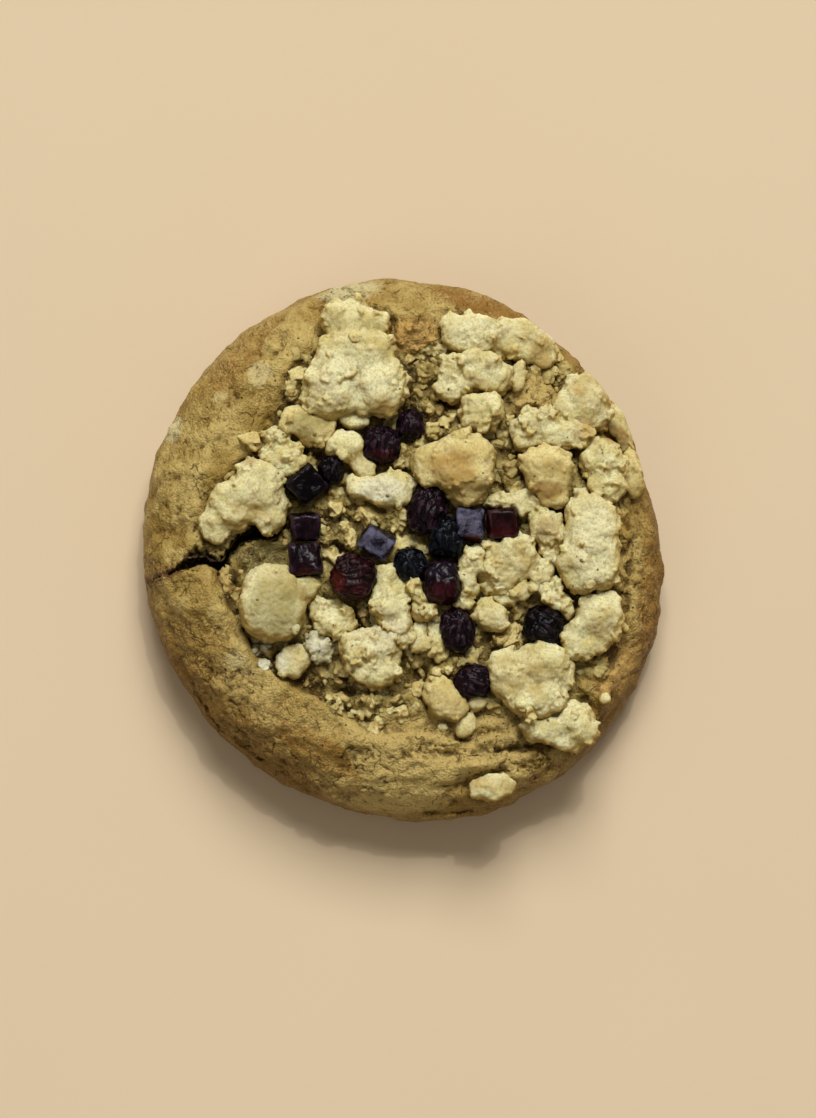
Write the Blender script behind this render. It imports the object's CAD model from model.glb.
"""The looks of a thick blueberry muffin cookie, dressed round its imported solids.

The solids give every form and place. Each one is copied here, its surface is broken up into crumb, baked
skin or wrinkles, and it gets its finish. Crumbs too fine for the solids are strewn in the gaps between
them. Sizes are millimetres and become metres where they meet Blender. Places are measured from the
cookie's middle, +X to the right and +Y away from the viewer.
"""

import logging
import math
from dataclasses import dataclass, field
from enum import Enum

import bpy
import numpy as np
from mathutils import Matrix, Vector, noise
from mathutils.bvhtree import BVHTree


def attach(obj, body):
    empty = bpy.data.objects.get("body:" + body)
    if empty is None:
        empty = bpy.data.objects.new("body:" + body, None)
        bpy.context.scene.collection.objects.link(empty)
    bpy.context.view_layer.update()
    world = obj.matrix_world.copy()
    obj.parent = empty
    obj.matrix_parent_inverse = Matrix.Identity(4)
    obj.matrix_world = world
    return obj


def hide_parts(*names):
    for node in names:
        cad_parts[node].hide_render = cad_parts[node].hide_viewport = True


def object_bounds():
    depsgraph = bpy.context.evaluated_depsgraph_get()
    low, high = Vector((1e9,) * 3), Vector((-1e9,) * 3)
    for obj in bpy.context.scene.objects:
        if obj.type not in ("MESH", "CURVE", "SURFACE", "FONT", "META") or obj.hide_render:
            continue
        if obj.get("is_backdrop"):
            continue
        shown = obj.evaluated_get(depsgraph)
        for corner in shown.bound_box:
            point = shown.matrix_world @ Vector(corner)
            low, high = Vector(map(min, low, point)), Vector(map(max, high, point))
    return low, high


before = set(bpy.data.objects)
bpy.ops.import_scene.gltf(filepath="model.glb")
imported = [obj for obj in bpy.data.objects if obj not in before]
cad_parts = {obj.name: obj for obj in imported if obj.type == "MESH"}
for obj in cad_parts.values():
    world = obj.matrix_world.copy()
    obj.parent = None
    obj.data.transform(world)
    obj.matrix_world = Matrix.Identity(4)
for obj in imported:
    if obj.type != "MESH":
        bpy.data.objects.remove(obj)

log = logging.getLogger("cookie")

MM = 0.001
BOX_MARGIN = 0.02  # millimetres that the dressed cookie keeps inside the solids' box
SKY = 60.0  # millimetres above the floor, from where crumbs fall
DOWN = Vector((0, 0, -1))

Colour = tuple[float, float, float, float]
Place = tuple[float, float]


def linear(red: float, green: float, blue: float) -> Colour:
    """Turns a colour given from 0 to 255 into linear light.

    Args:
        red: The red share.
        green: The green share.
        blue: The blue share.

    Returns:
        The colour in linear light, with full alpha.
    """
    shares = [value / 255 for value in (red, green, blue)]
    light = [s / 12.92 if s <= 0.04045 else ((s + 0.055) / 1.055) ** 2.4 for s in shares]
    return (*light, 1.0)


def smooth_step(low: float, high: float, values: np.ndarray) -> np.ndarray:
    """Rises evenly from 0 at low to 1 at high.

    Args:
        low: Where the curve leaves 0. It may be the larger one.
        high: Where it reaches 1.
        values: What the curve is read at.

    Returns:
        An array like values, from 0 to 1.
    """
    t = np.clip((values - low) / (high - low), 0.0, 1.0)
    return t * t * (3 - 2 * t)


# --------------------------------------------------------------------------------- modelling helpers

def select_only(obj: bpy.types.Object) -> None:
    """Deselects everything, then selects one object and makes it active.

    Args:
        obj: The object.
    """
    bpy.ops.object.select_all(action="DESELECT")
    obj.select_set(True)
    bpy.context.view_layer.objects.active = obj


def apply_modifier(obj: bpy.types.Object, kind: str, **settings: object) -> None:
    """Gives an object a modifier and applies it at once.

    Args:
        obj: The object, with a mesh of its own.
        kind: Blender's name for the modifier's type.
        **settings: The modifier's properties.
    """
    select_only(obj)
    modifier = obj.modifiers.new(kind.lower(), kind)
    for name, value in settings.items():
        setattr(modifier, name, value)
    bpy.ops.object.modifier_apply(modifier=modifier.name)


def merged_copy(node: str, name: str) -> bpy.types.Object:
    """Copies a solid's mesh into a new object and joins its loose triangles.

    Args:
        node: The solid's name.
        name: The new object's name.

    Returns:
        The new object, with one closed surface.
    """
    made = bpy.data.objects.new(name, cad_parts[node].data.copy())
    bpy.context.scene.collection.objects.link(made)
    made.data.materials.clear()
    select_only(made)
    bpy.ops.object.mode_set(mode="EDIT")
    bpy.ops.mesh.select_all(action="SELECT")
    bpy.ops.mesh.remove_doubles(threshold=0.002 * MM)
    bpy.ops.object.mode_set(mode="OBJECT")
    return made


def remesh(obj: bpy.types.Object, size: float) -> None:
    """Gives an object an even mesh of that fineness, with all that overlaps in it made one."""
    apply_modifier(obj, "REMESH", mode="VOXEL", voxel_size=size * MM, adaptivity=0.0)


def soften(obj: bpy.types.Object, rounds: int, factor: float = 0.5) -> None:
    """Smooths an object's mesh a number of times."""
    apply_modifier(obj, "SMOOTH", iterations=rounds, factor=factor)


class Relief(Enum):
    """The kinds of unevenness that a surface is pushed out by."""

    LUMPS = "soft lumps"
    GRANULES = "rounded grains"
    FOLDS = "round folds with sharp creases between them"


@dataclass(frozen=True)
class Push:
    """One unevenness, which pushes a surface in and out along its normals. Sizes are millimetres."""

    kind: Relief
    size: float  # the width of its bumps
    height: float  # from the lowest to the highest. Below 0 turns it round
    level: float = 0.5  # the texture's value that leaves the surface where it is
    group: str = ""  # the vertex group that says where, or all over if empty
    depth: int = 1  # how many finer layers lumps have
    runs: bool = False  # whether it follows the turn and scale of a guide

    def texture(self) -> bpy.types.Texture:
        """Makes the texture that the surface is pushed by."""
        if self.kind is Relief.GRANULES:
            made = bpy.data.textures.new("granules", "VORONOI")
            made.distance_metric = "DISTANCE_SQUARED"
        else:
            made = bpy.data.textures.new("clouds", "CLOUDS")
            made.noise_depth = self.depth
            made.noise_basis = "IMPROVED_PERLIN"
            made.noise_type = "HARD_NOISE" if self.kind is Relief.FOLDS else "SOFT_NOISE"
        made.noise_scale = self.size * MM
        return made

    def shape(self, obj: bpy.types.Object, guide: bpy.types.Object | None = None) -> None:
        """Pushes an object's surface in and out.

        Args:
            obj: The object.
            guide: What the bumps follow if they run one way.
        """
        texture = self.texture()
        along = guide if self.runs else None
        apply_modifier(
            obj, "DISPLACE", texture=texture, texture_coords="OBJECT" if along else "LOCAL",
            texture_coords_object=along, strength=self.height * MM, mid_level=self.level,
            vertex_group=self.group,
        )
        bpy.data.textures.remove(texture)


def add_guide(
    turn: tuple[float, float, float], scale: tuple[float, float, float],
    place: tuple[float, float, float] = (0.0, 0.0, 0.0),
) -> bpy.types.Object:
    """Adds an empty that the run of an unevenness follows.

    Args:
        turn: Its turn about each axis in radians.
        scale: How much it stretches what follows it, along each of its axes.
        place: Where it stands, in metres.

    Returns:
        The empty.
    """
    guide = bpy.data.objects.new("guide", None)
    bpy.context.scene.collection.objects.link(guide)
    guide.location = place
    guide.rotation_euler = turn
    guide.scale = scale
    bpy.context.view_layer.update()
    return guide


def points_of(obj: bpy.types.Object) -> np.ndarray:
    """Reads where an object's vertices are.

    Args:
        obj: The object.

    Returns:
        Their places in millimetres, as rows of three.
    """
    flat = np.empty(len(obj.data.vertices) * 3, np.float32)
    obj.data.vertices.foreach_get("co", flat)
    return flat.reshape(-1, 3).astype(float) / MM


def set_points(obj: bpy.types.Object, points: np.ndarray) -> None:
    """Moves an object's vertices to places in millimetres."""
    obj.data.vertices.foreach_set("co", (points * MM).astype(np.float32).ravel())
    obj.data.update()


def normals_of(obj: bpy.types.Object) -> np.ndarray:
    """Reads which way an object's surface faces at each vertex.

    Args:
        obj: The object.

    Returns:
        The normals, as rows of three.
    """
    flat = np.empty(len(obj.data.vertices) * 3, np.float32)
    obj.data.vertex_normals.foreach_get("vector", flat)
    return flat.reshape(-1, 3).astype(float)


def averaged(obj: bpy.types.Object, values: np.ndarray, rounds: int) -> np.ndarray:
    """Averages each vertex's numbers with its neighbours' again and again.

    Args:
        obj: The object, which says who the neighbours are.
        values: A row of numbers for each vertex.
        rounds: How often. More is a wider view.

    Returns:
        An array like values.
    """
    pairs = np.empty(len(obj.data.edges) * 2, np.int32)
    obj.data.edges.foreach_get("vertices", pairs)
    one, other = pairs.reshape(-1, 2).T
    count = len(values)
    neighbours = np.maximum(np.bincount(one, minlength=count) + np.bincount(other, minlength=count), 1)
    blurred = values.copy()
    for _ in range(rounds):
        for column in blurred.T:
            total = np.bincount(one, column[other], count) + np.bincount(other, column[one], count)
            column[:] = total / neighbours
    return blurred


def standing_proud(obj: bpy.types.Object, rounds: int) -> np.ndarray:
    """Measures how far each vertex stands proud of the surface averaged round it.

    Args:
        obj: The object to measure.
        rounds: How often its places are averaged with their neighbours'. More is a wider view.

    Returns:
        One height in millimetres for each vertex, below 0 in a hollow.
    """
    points = points_of(obj)
    return ((points - averaged(obj, points, rounds)) * normals_of(obj)).sum(axis=1)


def turned_away(obj: bpy.types.Object, rounds: int) -> np.ndarray:
    """Says how far each vertex faces down or towards the viewer, where the crumb baked to gold.

    Args:
        obj: The object to measure.
        rounds: How often its normals are averaged with their neighbours'.

    Returns:
        0 where it faces up or away, to 1 on the near sides.
    """
    normals = averaged(obj, normals_of(obj), rounds)
    return np.clip((1 - normals[:, 2]) * (0.5 - 0.5 * normals[:, 1]), 0.0, 1.0)


def set_attribute(obj: bpy.types.Object, name: str, values: np.ndarray) -> None:
    """Keeps a number, or a colour with its strength, for each vertex.

    Args:
        obj: The object that gets the attribute.
        name: The attribute's name, as its material reads it.
        values: One number for each vertex, or four.
    """
    is_colour = values.ndim == 2
    kind = "FLOAT_COLOR" if is_colour else "FLOAT"
    attribute = obj.data.attributes.new(name, kind, "POINT")
    attribute.data.foreach_set("color" if is_colour else "value", values.astype(np.float32).ravel())


def set_group(obj: bpy.types.Object, name: str, weights: np.ndarray) -> None:
    """Keeps a weight for each vertex as a vertex group, in a hundred steps.

    Args:
        obj: The object that gets the group.
        name: The group's name.
        weights: One number from 0 to 1 for each vertex.
    """
    group = obj.vertex_groups.new(name=name)
    steps = np.round(weights * 100).astype(int)
    for step in np.unique(steps):
        group.add(np.flatnonzero(steps == step).tolist(), step / 100, "REPLACE")


def keep_in_box(obj: bpy.types.Object, lowest: np.ndarray, highest: np.ndarray) -> None:
    """Holds an object's vertices inside a box in millimetres."""
    set_points(obj, np.clip(points_of(obj), lowest + BOX_MARGIN, highest - BOX_MARGIN))


def line_distance(points: np.ndarray, path: tuple[Place, ...]) -> np.ndarray:
    """Measures how far places lie from a line through several points, seen from above.

    Args:
        points: Places in millimetres, of which x and y count.
        path: The line's points.

    Returns:
        One distance in millimetres for each place.
    """
    nearest = np.full(len(points), np.inf)
    for start, end in zip(path, path[1:]):
        along = np.subtract(end, start)
        share = np.clip(((points[:, :2] - start) @ along) / (along @ along), 0.0, 1.0)
        nearest = np.minimum(nearest, np.linalg.norm(points[:, :2] - start - share[:, None] * along, axis=1))
    return nearest


def line_nearness(points: np.ndarray, path: tuple[Place, ...], half_width: float) -> np.ndarray:
    """Says how near places lie to a line: 1 on it, and about a third at its half width."""
    return np.exp(-((line_distance(points, path) / half_width) ** 2))


# ------------------------------------------------------------------------------------------ finishes

class Graph:
    """One material's nodes, added as they are asked for. Sizes are millimetres."""

    def __init__(self, name: str) -> None:
        """Starts a material with a Principled shader and the object's own coordinates.

        Args:
            name: The material's name.
        """
        self.material = bpy.data.materials.new(name)
        self.material.use_nodes = True
        self.nodes = self.material.node_tree.nodes
        self.links = self.material.node_tree.links
        self.shader = self.nodes["Principled BSDF"]
        self.place = self.nodes.new("ShaderNodeTexCoord").outputs["Object"]

    def feed(self, target: bpy.types.NodeSocket, source: object) -> None:
        """Links a socket to another one, or sets it to a plain value.

        Args:
            target: The socket that is fed.
            source: Another socket, or the value.
        """
        if isinstance(source, bpy.types.NodeSocket):
            self.links.new(source, target)
        else:
            target.default_value = source

    def add(self, kind: str, inputs: dict[str | int, object], **settings: object) -> bpy.types.Node:
        """Adds a node.

        Args:
            kind: Its type, without the words that all types start with.
            inputs: What each of its inputs is fed with.
            **settings: Its properties.

        Returns:
            The node.
        """
        node = self.nodes.new(f"ShaderNode{kind}")
        for name, value in settings.items():
            setattr(node, name, value)
        for name, source in inputs.items():
            self.feed(node.inputs[name], source)
        return node

    def noise(self, size: float, detail: float = 2.0, distortion: float = 0.0) -> bpy.types.NodeSocket:
        """Adds soft noise.

        Args:
            size: The width of its features.
            detail: How many finer layers it has.
            distortion: How far it is stirred.

        Returns:
            The socket with the noise, from 0 to 1.
        """
        inputs = {"Vector": self.place, "Scale": 1 / (size * MM), "Detail": detail, "Distortion": distortion}
        return self.add("TexNoise", inputs).outputs[0]

    def cells(self, size: float, feature: str = "F1") -> bpy.types.Node:
        """Adds a cell pattern with cells of that size."""
        return self.add("TexVoronoi", {"Vector": self.place, "Scale": 1 / (size * MM)}, feature=feature)

    def levels(self, *names: str) -> list[bpy.types.NodeSocket]:
        """Adds a reader for each of those numbers that the piece keeps."""
        return [self.add("Attribute", {}, attribute_name=name).outputs["Fac"] for name in names]

    def math(self, operation: str, a: object, b: object) -> bpy.types.NodeSocket:
        """Adds one sum of two sockets or numbers."""
        return self.add("Math", {0: a, 1: b}, operation=operation).outputs[0]

    def plus(self, a: object, b: object) -> bpy.types.NodeSocket:
        """Adds two values up."""
        return self.math("ADD", a, b)

    def minus(self, a: object, b: object) -> bpy.types.NodeSocket:
        """Takes one value from another."""
        return self.math("SUBTRACT", a, b)

    def times(self, a: object, b: object) -> bpy.types.NodeSocket:
        """Multiplies two values."""
        return self.math("MULTIPLY", a, b)

    def share(self, value: object, low: float, high: float, most: float = 1.0) -> bpy.types.NodeSocket:
        """Turns a value into a share that rises from 0 at low to most at high."""
        inputs = {"Value": value, "From Min": low, "From Max": high, "To Max": most}
        return self.add("MapRange", inputs, interpolation_type="SMOOTHSTEP").outputs[0]

    def blend(self, share: object, a: object, b: object) -> bpy.types.NodeSocket:
        """Mixes two colours.

        Args:
            share: How much of the second there is.
            a: The first.
            b: The second.

        Returns:
            The socket with the mixed colour.
        """
        node = self.add("Mix", {0: share}, data_type="RGBA")
        first, second = [s for s in node.inputs if s.type == "RGBA"]
        self.feed(first, a)
        self.feed(second, b)
        return [s for s in node.outputs if s.type == "RGBA"][0]

    def lay(
        self, under: object, over: object, value: object, low: float, high: float, most: float = 1.0,
    ) -> bpy.types.NodeSocket:
        """Lays one colour over another, from nothing where a value is low to most where it is high."""
        return self.blend(self.share(value, low, high, most), under, over)

    def stained(
        self, colour: object, uneven: object, span: tuple[float, float], full: float,
    ) -> bpy.types.NodeSocket:
        """Lays the stains that the piece keeps over a colour, with ragged edges.

        Args:
            colour: What lies under them.
            uneven: What makes their edges ragged.
            span: The strengths between which a stain comes in.
            full: The strength from which nothing holds it back.

        Returns:
            The socket with the stained colour.
        """
        stain = self.add("Attribute", {}, attribute_name="stain")
        strength = stain.outputs["Alpha"]
        shown = self.times(self.share(self.plus(strength, uneven), *span), self.share(strength, 0.0, full))
        return self.blend(shown, colour, stain.outputs["Color"])

    def bump(self, height: object, distance: float) -> bpy.types.NodeSocket:
        """Adds fine relief of that depth to the shading."""
        return self.add("Bump", {"Distance": distance * MM, "Height": height}).outputs["Normal"]

    def pits(self, size: float, width: float, share_kept: float) -> bpy.types.NodeSocket:
        """Adds scattered round dots, 1 at their middle.

        Args:
            size: Mean distance between dots, before any are left out.
            width: Their radius as a share of that.
            share_kept: The share of them that is kept.

        Returns:
            The socket with the dots.
        """
        cells = self.cells(size)
        dot = self.share(cells.outputs["Distance"], width, width * 0.35)
        chance = self.add("SeparateColor", {0: cells.outputs["Color"]}).outputs[0]
        return self.times(dot, self.share(chance, 1 - share_kept, 1 - 0.8 * share_kept))

    def cracks(self, size: float, width: float, bend: float) -> bpy.types.NodeSocket:
        """Adds a net of wandering hairlines, 1 at their middle.

        Args:
            size: Width of the plates between the lines.
            width: Half a line's width as a share of that.
            bend: How far the lines wander.

        Returns:
            The socket with the lines.
        """
        wander = self.add("TexNoise", {"Vector": self.place, "Scale": 1 / (0.6 * size * MM), "Detail": 3.0})
        bent = self.add(
            "VectorMath", {0: wander.outputs["Color"], 1: (2 * bend * MM,) * 3, 2: self.place},
            operation="MULTIPLY_ADD",
        )
        plates = self.cells(size, "DISTANCE_TO_EDGE")
        self.links.new(bent.outputs[0], plates.inputs["Vector"])
        return self.share(plates.outputs["Distance"], width, 0.2 * width)

    def let_light_in(self, weight: float, depth: float, tint: tuple[float, float, float]) -> None:
        """Lets light soak in under the surface.

        Args:
            weight: How much of it does.
            depth: How deep it goes.
            tint: How far red, green and blue go, as shares of that.
        """
        self.shader.inputs["Subsurface Weight"].default_value = weight
        self.shader.inputs["Subsurface Scale"].default_value = depth * MM
        self.shader.inputs["Subsurface Radius"].default_value = tint

    def finish(self, colour: object, normal: object, roughness: object, shine: float) -> bpy.types.Material:
        """Feeds the shader.

        Args:
            colour: The surface's colour.
            normal: Its fine relief.
            roughness: How dull it is.
            shine: How much it mirrors.

        Returns:
            The material.
        """
        self.feed(self.shader.inputs["Base Color"], colour)
        self.feed(self.shader.inputs["Normal"], normal)
        self.feed(self.shader.inputs["Roughness"], roughness)
        self.shader.inputs["Specular IOR Level"].default_value = shine
        return self.material


@dataclass(frozen=True)
class StreuselFinish:
    """Dry, sandy, buttery crumb: golden on its near sides, darker in its hollows, with fine specks."""

    name: str
    pale: Colour
    deep: Colour
    golden: Colour
    hollow: Colour
    speck: Colour = linear(142, 126, 66)
    specked: float = 0.46
    grain: float = 0.30  # depth of the finest relief in millimetres
    roughness: float = 0.9

    def material(self) -> bpy.types.Material:
        """Builds the material."""
        graph = Graph(self.name)
        proud, close, turned = graph.levels("proud", "grain", "turned")
        grit = graph.noise(0.45, 3.0)
        sand = graph.noise(0.9, 3.0)
        patch = graph.noise(4.2, 3.0)
        drift = graph.noise(13.0, 2.0)
        uneven_sand = graph.minus(sand, 0.5)
        colour = graph.lay(self.pale, self.deep, patch, 0.40, 0.68)
        colour = graph.lay(colour, self.golden, drift, 0.50, 0.66, 0.3)
        colour = graph.stained(colour, graph.times(graph.minus(patch, 0.5), 0.9), (0.0, 1.1), 0.3)
        side = graph.plus(turned, graph.times(uneven_sand, 0.3))
        colour = graph.lay(colour, self.golden, side, 0.02, 0.36, 0.9)
        colour = graph.lay(colour, self.hollow, side, 0.24, 0.72, 0.75)
        raised = graph.plus(proud, graph.times(uneven_sand, 0.9))
        colour = graph.lay(colour, self.hollow, raised, -0.20, -1.2, 0.75)
        colour = graph.lay(colour, self.speck, close, -0.01, -0.14, 0.55)
        colour = graph.lay(colour, self.deep, sand, 0.46, 0.72, 0.35)
        colour = graph.lay(colour, self.speck, grit, 0.42, 0.78, self.specked)
        height = graph.minus(graph.times(sand, 1.2), graph.times(grit, 0.9))
        graph.let_light_in(0.6, 2.0, (1.0, 0.72, 0.30))
        return graph.finish(colour, graph.bump(height, self.grain), self.roughness, 0.2)


@dataclass(frozen=True)
class DoughFinish:
    """Baked dough: a golden skin with pores and fine creases, and a rougher, crumb-filled middle."""

    name: str
    skin: Colour
    skin_deep: Colour
    brown: Colour
    hollow: Colour
    crumb: Colour
    crumb_deep: Colour
    topping: Colour
    pit: Colour
    pore: Colour
    cleft: Colour

    def material(self) -> bpy.types.Material:
        """Builds the material."""
        graph = Graph(self.name)
        proud, close, crazed, crumbly, baked = graph.levels("proud", "grain", "crazed", "crumbly", "baked")
        grit = graph.noise(0.45, 4.0)
        patch = graph.noise(9.0, 3.0)
        mottle = graph.noise(2.0, 5.0)
        drift = graph.noise(7.0, 3.0)
        uneven = graph.minus(mottle, 0.5)

        skin = graph.lay(self.skin, self.skin_deep, patch, 0.40, 0.62)
        skin = graph.lay(skin, self.skin_deep, mottle, 0.42, 0.74, 0.4)
        skin = graph.lay(skin, self.brown, graph.plus(proud, graph.times(uneven, 0.6)), 0.15, -0.60, 0.7)
        skin = graph.lay(skin, self.brown, graph.plus(baked, graph.times(uneven, 0.6)), 0.25, 1.0)

        raised = graph.plus(proud, graph.times(graph.minus(grit, 0.5), 0.8))
        crumb = graph.lay(self.crumb, self.crumb_deep, mottle, 0.38, 0.64)
        crumb = graph.lay(crumb, self.hollow, raised, 0.30, -0.45)
        crumb = graph.lay(crumb, self.topping, raised, 0.45, 0.95)

        colour = graph.lay(skin, crumb, crumbly, 0.35, 0.75)
        colour = graph.stained(colour, graph.times(uneven, 1.2), (0.12, 0.9), 0.15)
        floury = graph.times(graph.share(grit, 0.54, 0.34, 0.6), graph.share(drift, 0.66, 0.38))
        floury = graph.times(floury, graph.share(baked, 1.1, 0.6))
        colour = graph.blend(floury, colour, self.topping)
        colour = graph.lay(colour, self.pit, grit, 0.52, 0.70, 0.5)
        colour = graph.lay(colour, self.pore, close, -0.05, -0.24, 0.6)
        colour = graph.lay(colour, self.cleft, proud, -1.0, -2.2)
        colour = graph.blend(graph.times(crazed, 0.8), colour, self.pore)

        broken = graph.share(graph.noise(3.4, 2.0), 0.54, 0.64)
        hairlines = graph.times(graph.cracks(4.6, 0.035, 1.4), broken)
        colour = graph.blend(graph.times(hairlines, 0.7), colour, self.pit)
        pores = graph.pits(2.3, 0.13, 0.4)
        colour = graph.blend(graph.times(pores, 0.85), colour, self.pore)
        holes = graph.plus(pores, hairlines)
        height = graph.minus(graph.times(grit, -1.5), graph.times(holes, 1.2))
        graph.let_light_in(0.08, 1.4, (1.0, 0.55, 0.25))
        return graph.finish(colour, graph.bump(height, 0.34), graph.share(grit, 0.2, 0.9), 0.2)


@dataclass(frozen=True)
class BerryFinish:
    """Sticky dried fruit: dark, with dusty ridges and tops."""

    name: str
    flesh: Colour
    depth: Colour
    dust: Colour
    edge_dust: float
    top_dust: float
    roughness: float

    def material(self, crinkles: float) -> bpy.types.Material:
        """Builds the material.

        Args:
            crinkles: The depth of its finest folds in millimetres.

        Returns:
            The material.
        """
        graph = Graph(self.name)
        proud, upward = graph.levels("proud", "upward")
        patch = graph.noise(1.6, 3.0)
        cloud = graph.noise(2.4, 4.0, 0.8)
        grit = graph.noise(0.35, 3.0)
        crinkle = graph.noise(0.8, 3.0, 1.0)
        uneven_cloud = graph.minus(cloud, 0.5)
        colour = graph.lay(self.flesh, self.depth, patch, 0.35, 0.60)
        colour = graph.lay(colour, self.depth, proud, 0.05, -0.20, 0.9)
        colour = graph.stained(colour, graph.times(uneven_cloud, 1.2), (0.1, 1.1), 0.4)
        powder = graph.times(graph.minus(grit, 0.5), 0.9)
        drifts = graph.plus(powder, graph.times(uneven_cloud, 2.4))
        edges = graph.share(graph.plus(graph.times(proud, 4.0), powder), 0.25, 0.95, self.edge_dust)
        tops = graph.share(graph.plus(upward, drifts), 0.5, 1.5, self.top_dust)
        dusted = graph.math("MAXIMUM", edges, tops)
        colour = graph.blend(dusted, colour, self.dust)
        normal = graph.bump(graph.plus(graph.times(grit, 0.4), crinkle), crinkles)
        roughness = graph.plus(graph.share(dusted, 0.0, 0.6, 0.45), self.roughness)
        return graph.finish(colour, normal, roughness, 0.12)


@dataclass(frozen=True)
class FloorFinish:
    """A plain pale table top with the faintest unevenness."""

    name: str
    colour: Colour
    shade: Colour

    def material(self) -> bpy.types.Material:
        """Builds the material."""
        graph = Graph(self.name)
        colour = graph.blend(graph.noise(60.0, 1.0), self.colour, self.shade)
        return graph.finish(colour, graph.bump(graph.noise(1.0), 0.01), 0.9, 0.1)


# ------------------------------------------------------------------------------------ local browning

class Tone(Enum):
    """Colours that the oven, the fruit and the flour leave in places."""

    AMBER = linear(182, 144, 78)
    MOSS = linear(114, 104, 58)
    HONEY = linear(194, 156, 86)
    SAND = linear(194, 168, 100)
    TAN = linear(184, 156, 94)
    TOAST = linear(144, 104, 42)
    BLOOM = linear(204, 192, 142)
    CREAM = linear(198, 180, 124)
    MILK = linear(226, 222, 190)
    OLIVE = linear(150, 138, 84)
    FOLD = linear(184, 162, 92)
    ROSE = linear(190, 164, 118)
    RUST = linear(96, 62, 28)
    SOOT = linear(22, 10, 8)
    WINE = linear(50, 6, 8)
    EMBER = linear(86, 24, 14)
    CAP = linear(22, 16, 24)


@dataclass(frozen=True)
class Patch:
    """A soft oval place on the cookie: its middle, its length and width, its strength and its turn."""

    middle: Place
    length: float
    width: float
    strength: float = 1.0
    turn: float = 0.0

    def weights(self, points: np.ndarray) -> np.ndarray:
        """Says how strong the patch is at each place.

        Args:
            points: Places in millimetres, of which x and y count.

        Returns:
            A strength for each, from 0 to the patch's own.
        """
        angle = math.radians(self.turn)
        dx, dy = points[:, 0] - self.middle[0], points[:, 1] - self.middle[1]
        along = dx * math.cos(angle) + dy * math.sin(angle)
        across = dy * math.cos(angle) - dx * math.sin(angle)
        distance = np.hypot(2 * along / self.length, 2 * across / self.width)
        return self.strength * smooth_step(1.3, 0.45, distance)


def strongest(patches: tuple[Patch, ...], points: np.ndarray) -> np.ndarray:
    """Gives the weight of the patch that counts most at each place."""
    return np.max([patch.weights(points) for patch in patches], axis=0)


@dataclass(frozen=True)
class Stain:
    """A patch of another colour, which fades out from 5 mm above its lowest height."""

    tone: Tone
    patch: Patch
    lowest: float = 8.5


def stains(tone: Tone, *rows: tuple[float, ...], lowest: float = 8.5) -> tuple[Stain, ...]:
    """Makes stains of one tone.

    Args:
        tone: The tone.
        *rows: Each one's place, length and width, and its strength and turn if it has them.
        lowest: Their lowest height.

    Returns:
        The stains.
    """
    return tuple(Stain(tone, Patch((x, y), *rest), lowest) for x, y, *rest in rows)


def set_stains(obj: bpy.types.Object, stains: tuple[Stain, ...]) -> None:
    """Keeps the strongest patch's colour and its strength at each vertex.

    Args:
        obj: The object that gets the attribute.
        stains: The patches.
    """
    points = points_of(obj)
    colours = np.zeros((len(points), 4))
    for stain in stains:
        weights = stain.patch.weights(points) * smooth_step(stain.lowest, stain.lowest + 5.0, points[:, 2])
        stronger = weights > colours[:, 3]
        colours[stronger, :3] = stain.tone.value[:3]
        colours[stronger, 3] = weights[stronger]
    set_attribute(obj, "stain", colours)


CRUMB_STAINS = (
    *stains(
        Tone.AMBER, (9.6, 15.8, 12.0, 10.0, 0.75), (11.6, 11.6, 7.0, 5.0, 0.5),
        (-5.6, 8.4, 8.0, 3.4, 0.7), (-4.2, 28.0, 5.0, 3.6, 0.8, 20), (36.6, 23.4, 7.4, 6.2, 0.6),
    ),
    *stains(
        Tone.TAN, (39.3, -15.0, 8.0, 7.0, 0.45), (-7.6, -21.0, 10.0, 8.0, 0.35),
        (21.4, -2.0, 10.0, 9.0, 0.42), (27.4, 39.4, 5.6, 8.4, 0.9), (28.0, 14.8, 10.0, 8.0, 0.4),
        (-30.6, 7.4, 9.0, 6.0, 0.6), (26.2, -25.4, 9.0, 7.0, 0.5), (-35.0, -6.5, 7.0, 14.0, 0.8),
        (37.4, 31.6, 10.0, 9.0, 0.6), (17.0, -46.6, 10.0, 4.0, 0.5), (16.4, -14.6, 6.0, 5.0, 0.6),
    ),
    *stains(
        Tone.OLIVE, (-19.4, 25.0, 11.0, 8.0, 0.6), (-1.6, 25.2, 3.4, 4.4, 0.8),
        (-25.6, -11.6, 14.0, 15.0, 0.62),
    ),
    *stains(
        Tone.MILK, (-4.8, 11.8, 11.0, 5.6, 1.0), (-3.6, -16.4, 15.0, 12.0, 0.5),
        (37.4, 1.0, 10.0, 22.0, 0.42), (-10.6, 34.0, 22.0, 12.0, 0.42),
        (15.2, 43.2, 18.0, 7.0, 0.36), (-27.6, -21.8, 11.0, 8.0, 1.0),
    ),
    *stains(
        Tone.TOAST, (28.2, 11.8, 8.0, 4.4, 0.9), (42.2, 23.0, 9.0, 4.4, 0.9, -25),
    ),
    *stains(
        Tone.ROSE, (-30.8, 18.0, 4.4, 3.6, 0.9), (14.4, 33.0, 6.0, 4.0, 0.45),
        (28.6, 3.8, 7.0, 6.0, 0.6),
    ),
)

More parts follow.
